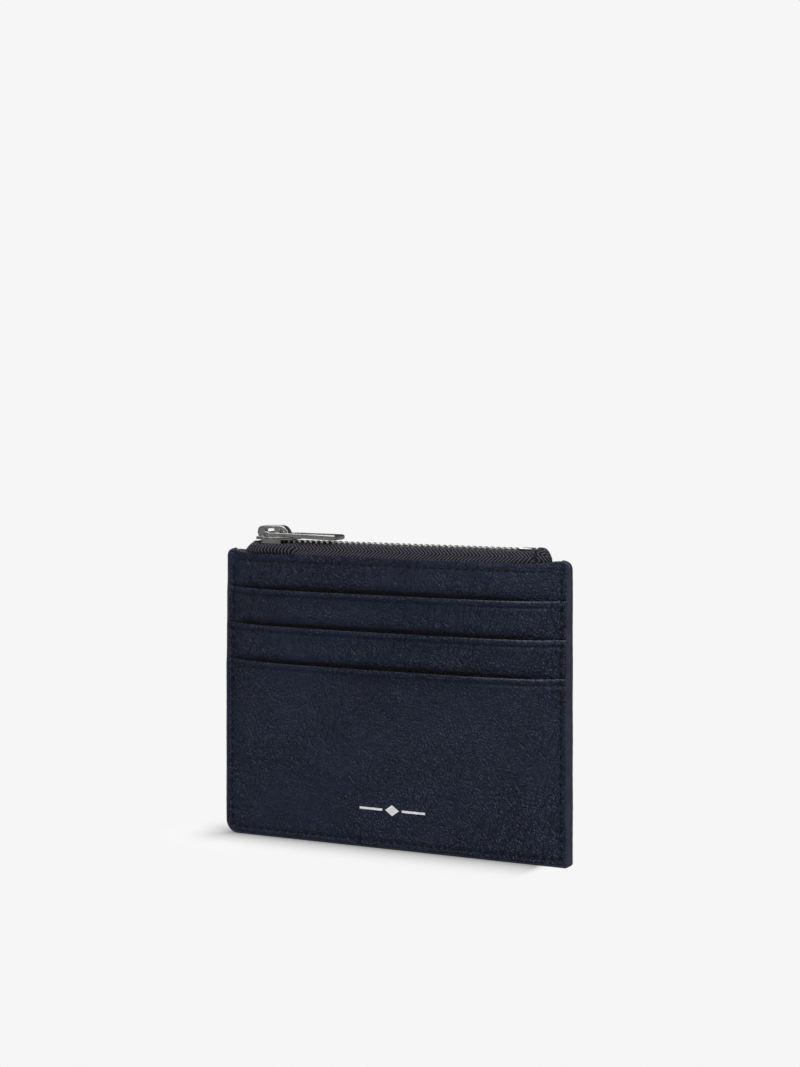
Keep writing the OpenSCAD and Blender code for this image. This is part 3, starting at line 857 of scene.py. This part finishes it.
# ---------------------------------------------------------------- zip
TEETH_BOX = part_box("zip_teeth_front")
CHAIN_TOP, TOOTH_T = TEETH_BOX[1][2] / MM, (TEETH_BOX[1][2] - TEETH_BOX[0][2]) / MM
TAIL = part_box("slider_body")[1][0] / MM    # the slider's end at rest, on the side of the closed chain
SLOT = CHAIN_TOP - 1.35                    # height at which the tapes leave the slider
TAPE_END = 51.0                            # the tapes' left end, and right end where sewn
TAPE_STOP = 48.6                           # right end of the free tapes, inside the fold
CORD_START = -49.0
SPLIT = -6.0                               # where the two halves of a free tape meet
TAPE_Z, TAPE_S = 88.0, 0.24                # height and offset at which a tape leaves the panel
LIP_Z = 89.3                               # top of the upright part of a tape
TOOTH_STEP, LAST_TOOTH = 2.0, 42.6


def spread(x):
    """1 where the slider holds the tapes out at rest."""
    return float(smooth(-50.0, -47.4, x) * (1 - smooth(TAIL - 0.4, TAIL + 3.2, x)))


def end_in(x):
    """1 at the ends, where the tapes close in to the folds."""
    return float(smooth(45.0, 51.5, abs(x)))


def apart(x):
    """How far each row of teeth has parted, inside the slider and behind it."""
    return max(0.0, TAIL - 4 - x) * 0.42


def tape_foot(side, x, s=TAPE_S):
    return float(case_y(side, x, TAPE_Z, s))


def tape_profile(side, x):
    """Free part of a tape, from inside the mouth up and in to the teeth, as (y, z) points."""
    s = tape_foot(side, x)
    w, e = spread(x), end_in(x)
    wav = 0.07 * math.sin(0.55 * x + side) + 0.04 * math.sin(1.7 * x)
    closed = [(3.42, 90.3), (3.18, 91.2), (2.72, 92.0), (2.05, 92.52), (1.35, 92.78), (0.80, 92.88)]
    held = [(4.15, 90.0), (4.62, 90.6), (4.70, 91.5), (4.25, SLOT), (3.3, SLOT + 0.10),
            (0.8 + min(1.75, apart(x)), CHAIN_TOP - 0.75)]
    at_end = [(s, 90.3), (s * 0.98, 91.2), (s * 0.90, 92.0), (s * 0.72, 92.6),
              (side * 1.2, 92.9), (side * 0.70, 93.0)]
    pts = [(s, TAPE_Z + 0.2), (s, LIP_Z)]
    for k, (p, q, c) in enumerate(zip(closed, held, at_end)):
        y = mix(side * mix(p[0], q[0], w), c[0], e)
        z = mix(mix(p[1], q[1], w), c[1], e)
        pts.append((y + side * wav * (1 - e) * (0 < k < 4), z))
    pts = np.array(pts)
    dip = 2.3 * max(0.0, (-46.6 - x) / 4.4) ** 2.2
    pts[:, 1] -= dip * np.clip((pts[:, 1] - LIP_Z) / 3.5, 0, 1)
    return pts


def smooth_curve(pts, n):
    """Catmull-Rom through points, n samples."""
    p = np.vstack([2 * pts[0] - pts[1], pts, 2 * pts[-1] - pts[-2]])
    out = []
    for s in np.linspace(0, len(pts) - 1 - 1e-6, n):
        i, t = int(s), s - int(s)
        a, b, c, d = p[i:i + 4]
        bend, pull = 2 * a - 5 * b + 4 * c - d, 3 * b - a - 3 * c + d
        out.append(0.5 * (2 * b + (c - a) * t + bend * t * t + pull * t ** 3))
    return np.array(out)


def thick_ring(line, x, t):
    """A closed ring of thickness t about a (y, z) line, at x."""
    d = np.gradient(line, axis=0)
    n = np.stack([-d[:, 1], d[:, 0]], 1)
    n /= np.linalg.norm(n, axis=1)[:, None]
    a, b = line + n * t / 2, line - n * t / 2
    return [[x, *q] for q in a] + [[x, *q] for q in b[::-1]]


def tape_piece(name, side, x0, x1):
    xs = np.linspace(x0, x1, int(abs(x1 - x0) / 0.6) + 1)
    rings = [thick_ring(smooth_curve(tape_profile(side, float(x)), 26), float(x), 0.30) for x in xs]
    return loft(name, rings, TAPE)


def cord_piece(name, side, x0, x1):
    """The corded edge of a tape, which the teeth grip."""
    turn = np.linspace(0, 2 * math.pi, 9)[:-1]
    rings = []
    for x in np.arange(x0, x1 + 0.01, 0.25):
        y, z = tape_profile(side, float(x))[-1]
        r = 0.30 + 0.03 * math.cos(2 * math.pi * x / 0.5)
        rings.append([[x, y + side * 0.1 + r * math.cos(a), z - 0.02 + r * math.sin(a)] for a in turn])
    return loft(name, rings, TAPE, caps="fan")


def tooth_mesh(side):
    """One metal tooth about the origin: a forked foot, a waist and a rounded head, with its long axis on Y
    and its top at Z = 0."""
    bm = bmesh.new()
    right = [(0.40, -1.75), (0.43, -1.2), (0.37, -0.55), (0.46, -0.12), (0.40, 0.30), (0.22, 0.44)]
    prof = [(-0.40, -1.75)] + right + [(-x, y) for x, y in right[:0:-1]]
    low = [bm.verts.new((x, -side * y, -TOOTH_T)) for x, y in prof]
    high = [bm.verts.new((x, -side * y, 0.05 - 0.10 * (y > 0.1))) for x, y in prof]
    n = len(prof)
    bm.faces.new(high)
    bm.faces.new(low[::-1])
    for k in range(n):
        bm.faces.new((low[k], low[(k + 1) % n], high[(k + 1) % n], high[k]))
    bmesh.ops.recalc_face_normals(bm, faces=bm.faces)
    sharp = [e for e in bm.edges if e.calc_face_angle(0) > 0.6]
    bmesh.ops.bevel(bm, geom=sharp, offset=0.13, segments=3, profile=0.5, affect="EDGES", clamp_overlap=True)
    bm.verts.index_update()
    verts = [tuple(v.co) for v in bm.verts]
    faces = [tuple(v.index for v in f.verts) for f in bm.faces]
    bm.free()
    return verts, faces


def teeth_piece(name, side, x0, x1):
    tooth, tooth_faces = tooth_mesh(side)
    verts, faces = [], []
    first = TAIL - 8.0 + (0 if side < 0 else TOOTH_STEP / 2)
    for x in np.arange(first, LAST_TOOTH, TOOTH_STEP):
        if not x0 <= x < x1:
            continue
        y = side * apart(x)
        yaw = rng.uniform(-0.03, 0.03)
        c, s = math.cos(yaw), math.sin(yaw)
        base = len(verts)
        verts += [(x + v[0] * c - v[1] * s, y + v[1] * c + v[0] * s, CHAIN_TOP + v[2]) for v in tooth]
        faces += [tuple(base + k for k in f) for f in tooth_faces]
    return new_object(name, verts, faces, TEETH)


def free_tape(side, word, lip):
    """Tape, cord and teeth of one lip, in two halves."""
    halves = (("left", -TAPE_END, SPLIT, ("case", lip), (-49.5, -27.0)),
              ("right", SPLIT, TAPE_STOP, (lip, "case"), (4.0, 32.0)))
    for part, x0, x1, (a, b), (start, end) in halves:
        made = [tape_piece(f"tape_{word}_{part}", side, x0, x1),
                cord_piece(f"tape_cord_{word}_{part}", side, max(x0, CORD_START), x1),
                teeth_piece(f"teeth_{word}_{part}", side, x0, x1)]
        nodes = ([f"zip_tape_{word}"], [], [f"zip_teeth_{word}"])
        for o, slot, stood_for in zip(made, ("zip_tape", "zip_tape", "nickel"), nodes):
            finish_piece(o, lip, slot, *stood_for, ride=False)
            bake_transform(o)


def sewn_tape(side, word):
    """The part of the tape that is sewn inside the panel, which stays with the case."""
    rings = []
    for x in np.linspace(-TAPE_END, TAPE_END, 103):
        line = np.array([[tape_foot(side, x), z] for z in np.linspace(84.3, 88.3, 8)])
        rings.append(thick_ring(line, float(x), 0.26))
    return finish_piece(loft(f"tape_sewn_{word}", rings, TAPE), "case", "zip_tape")


def end_fold(name, e, node, low=89.0, tucked=86.6):
    """A folded tape end that closes the zip: a soft rounded cap tucked into the mouth. The right one has a
    crease and is plumper."""
    right = e > 0
    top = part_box(node)[1][2] / MM + (0.20 if right else -0.9)
    x_in, x_out = (48.3, TAPE_END + 1.6) if right else (49.6, TAPE_END + 0.6)
    rings = []
    for u in np.linspace(0, 1, 22):
        x = e * mix(x_in, x_out, u)
        front, back = tape_foot(-1, x, 0.0) + 0.05, tape_foot(1, x, 0.0) - 0.05
        fall = 2.8 * max(0, (u - 0.36) / 0.64) ** 2.4 if right else 3.6 * max(0, u - 0.42) ** 2.2
        crown = top - 0.05 - 7.0 * max(0, 0.22 - u) ** 1.5 - fall
        swell = 0.42 * math.sin(math.pi * u) - 0.80 * bell(u - 0.10, 0.10) if right else 0.0
        ring = [[x, front, tucked]]
        for a in np.linspace(0, math.pi, 17):
            c, s = math.cos(a), math.sin(a)
            z = low + (crown - low) * s ** 0.72 + 0.05 * math.sin(5 * a + 3 * u)
            half = (back - front) / 2 * (1 - 0.10 * u) + swell * float(smooth(low, low + 1.6, z))
            ring.append([x, (front + back) / 2 - half * math.copysign(abs(c) ** 0.62, c), z])
        rings.append(ring + [[x, back, tucked]])
    return finish_piece(loft(name, rings, TAPE, caps="fan"), "case", "zip_tape", node)


for side, word, lip in ((-1, "front", "front_lip"), (1, "rear", "rear_lip")):
    free_tape(side, word, lip)
    sewn_tape(side, word)
end_fold("tape_fold_right", 1, "zip_end_right")
end_fold("tape_fold_left", -1, "zip_end_left")


# ---------------------------------------------------------------- metal parts
def bevelled(name, node, body, width, material, tuck=None):
    """The CAD solid with its edges rounded. tuck is (z, share): what lies below z is drawn in to that share
    of its width."""
    bm = bmesh.new()
    bm.from_mesh(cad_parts[node].data)
    bmesh.ops.remove_doubles(bm, verts=bm.verts, dist=2e-6)
    bmesh.ops.dissolve_limit(bm, angle_limit=math.radians(2), verts=bm.verts, edges=bm.edges)
    for v in bm.verts:
        if tuck and v.co.z < tuck[0] * MM:
            v.co.y *= tuck[1]
    sharp = [e for e in bm.edges if len(e.link_faces) == 2 and e.calc_face_angle(0) > math.radians(20)]
    bmesh.ops.bevel(bm, geom=sharp, offset=width * MM, segments=3, profile=0.5, affect="EDGES",
                    clamp_overlap=True)
    bmesh.ops.triangulate(bm, faces=[f for f in bm.faces if len(f.verts) > 4])
    bmesh.ops.recalc_face_normals(bm, faces=bm.faces)
    mesh = bpy.data.meshes.new(name)
    bm.to_mesh(mesh)
    bm.free()
    mesh.materials.append(material)
    mesh.polygons.foreach_set("use_smooth", [True] * len(mesh.polygons))
    mesh.set_sharp_from_angle(angle=math.radians(35))
    return finish_piece(link_object(name, mesh), body, "nickel", node)


# The lower plate runs inside the closed tape, so it is narrower than the upper one.
bevelled("slider_body_metal", "slider_body", "slider", 0.16, NICKEL, tuck=(SLOT + 0.25, 0.48))
bevelled("slider_bridge_metal", "slider_bridge", "slider", 0.20, NICKEL)
bevelled("pull_bar", "pull_tab", "pull", 0.16, NICKEL)
bevelled("stops_top", "top_stops", "case", 0.10, TEETH)
bevelled("stop_bottom", "bottom_stop", "case", 0.09, TEETH)

# ---------------------------------------------------------------- floor, light, camera
STUDIO = 0.9216                            # linear grey of the background
FLOOR_R, FLOOR_N = 60.0, 64                # metres, and points round it
# Soft lights as (direction, full within this angle, gone past this one, power). The last is for the back.
SOFTBOXES = (
    ((0.95, -0.40, 0.80), 9, 22, 6.5),
    ((0.05, -0.30, 1.0), 16, 34, 2.9),
    ((-0.9, -0.7, 0.45), 8, 20, 0.5),
    ((-0.45, -1.0, 0.42), 7, 15, 2.4),
    ((-1.0, 0.75, 0.9), 10, 24, 4.0),
)


def floor_material():
    """A pale table. The shade is painted from the distance to the case's foot, as under a large soft box."""
    m = Mat("floor_pale")
    m.t.nodes.remove(m.b)
    x, y, _ = m.xyz()
    right = m.mul(m.calc("MAXIMUM", m.sub(x, W2 * MM - 0.010), 0.0), 5.0)
    left = m.mul(m.calc("MAXIMUM", m.sub(m.mul(x, -1.0), W2 * MM - 0.002), 0.0), 1.2)
    dx = m.add(left, right)
    dy = m.calc("MAXIMUM", m.sub(m.calc("ABSOLUTE", y), 0.002), 0.0)
    far = m.calc("SQRT", m.add(m.mul(dx, dx), m.mul(dy, dy)))
    fading = m.calc("EXPONENT", m.calc("DIVIDE", far, -0.0072))
    shade = m.sub(1.0, m.mul(fading, m.remap(far, 0.008, 0.024, 0.60, 0.0)))
    grain = m.mul(m.remap(m.noise(18.0, 2.0), 0.2, 0.8, 0.995, 1.0), shade)
    pale = m.vector("MULTIPLY", (0.87, 0.87, 0.87), m.join(grain, grain, grain)).outputs["Vector"]
    lit = m.mul(shade, STUDIO)
    # Reflected rays see a dark grey floor instead of the lit one: a painted, darker reflection of it in the
    # case.
    glossy = m.new("LightPath").outputs["Is Glossy Ray"]
    diffuse, glow, mixed = m.new("BsdfDiffuse"), m.new("Emission"), m.new("MixShader")
    m.put(diffuse.inputs["Color"], m.blend(glossy, pale, (0.22, 0.22, 0.225)))
    m.put(glow.inputs["Color"], m.blend(glossy, m.join(lit, lit, lit), (0.20, 0.20, 0.205)))
    glow.inputs["Strength"].default_value = 1.0
    m.put(mixed.inputs[0], m.remap(far, 0.0, 0.030, 0.35, 0.0))
    m.put(mixed.inputs[1], glow.outputs[0])
    m.put(mixed.inputs[2], diffuse.outputs[0])
    m.put(m.out.inputs["Surface"], mixed.outputs[0])
    return m.m


def make_floor():
    mesh = bpy.data.meshes.new("floor")
    turn = np.linspace(0, 2 * math.pi, FLOOR_N + 1)[:-1]
    verts = [(0, 0, 0)] + [(FLOOR_R * math.cos(a), FLOOR_R * math.sin(a), 0.0) for a in turn]
    mesh.from_pydata(verts, [], [(0, k + 1, (k + 1) % FLOOR_N + 1) for k in range(FLOOR_N)])
    mesh.materials.append(floor_material())
    link_object("floor", mesh)


def softbox(w, direction, towards, inner, outer, power):
    """A soft round light in that direction, full inside the inner angle and gone past the outer one."""
    dot = w.vector("DOT_PRODUCT", direction, Vector(towards).normalized()).outputs["Value"]
    return w.mul(w.remap(dot, math.cos(math.radians(outer)), math.cos(math.radians(inner))), power)


def make_world():
    """The studio: soft lights for every ray but the camera's, which sees the plain background."""
    world = bpy.data.worlds.new("studio")
    world.use_nodes = True
    bpy.context.scene.world = world
    w = Nodes(world.node_tree)
    out, background = w.new("OutputWorld"), w.new("Background")
    w.put(out.inputs[0], background.outputs[0])
    direction = w.new("TexCoord").outputs["Generated"]
    light = 0.15
    for box in SOFTBOXES:
        light = w.add(light, softbox(w, direction, *box))
    rays = w.new("LightPath").outputs
    seen = rays["Is Camera Ray"]
    light = w.sub(light, w.mul(rays["Is Glossy Ray"], 0.085))
    light = w.add(w.mul(light, w.sub(1.0, seen)), w.mul(seen, STUDIO))
    w.put(background.inputs["Strength"], light)
    background.inputs["Color"].default_value = (1, 1, 1, 1)


def make_camera():
    """The photograph's view, fitted to the straight edges of the case."""
    camera = bpy.data.cameras.new("camera")
    camera.sensor_width = 36.0
    camera.lens = 74.77
    camera.shift_y = -0.1334
    camera.clip_start = 0.01
    camera.clip_end = 200.0
    o = link_object("camera", camera)
    o.location = (0.3170, -0.5993, 0.1400)
    o.rotation_euler = (math.radians(90), 0, math.radians(27.68))
    bpy.context.scene.camera = o


make_floor()
make_world()
make_camera()
bpy.context.scene.view_settings.view_transform = "Standard"
bpy.context.scene.view_settings.look = "None"
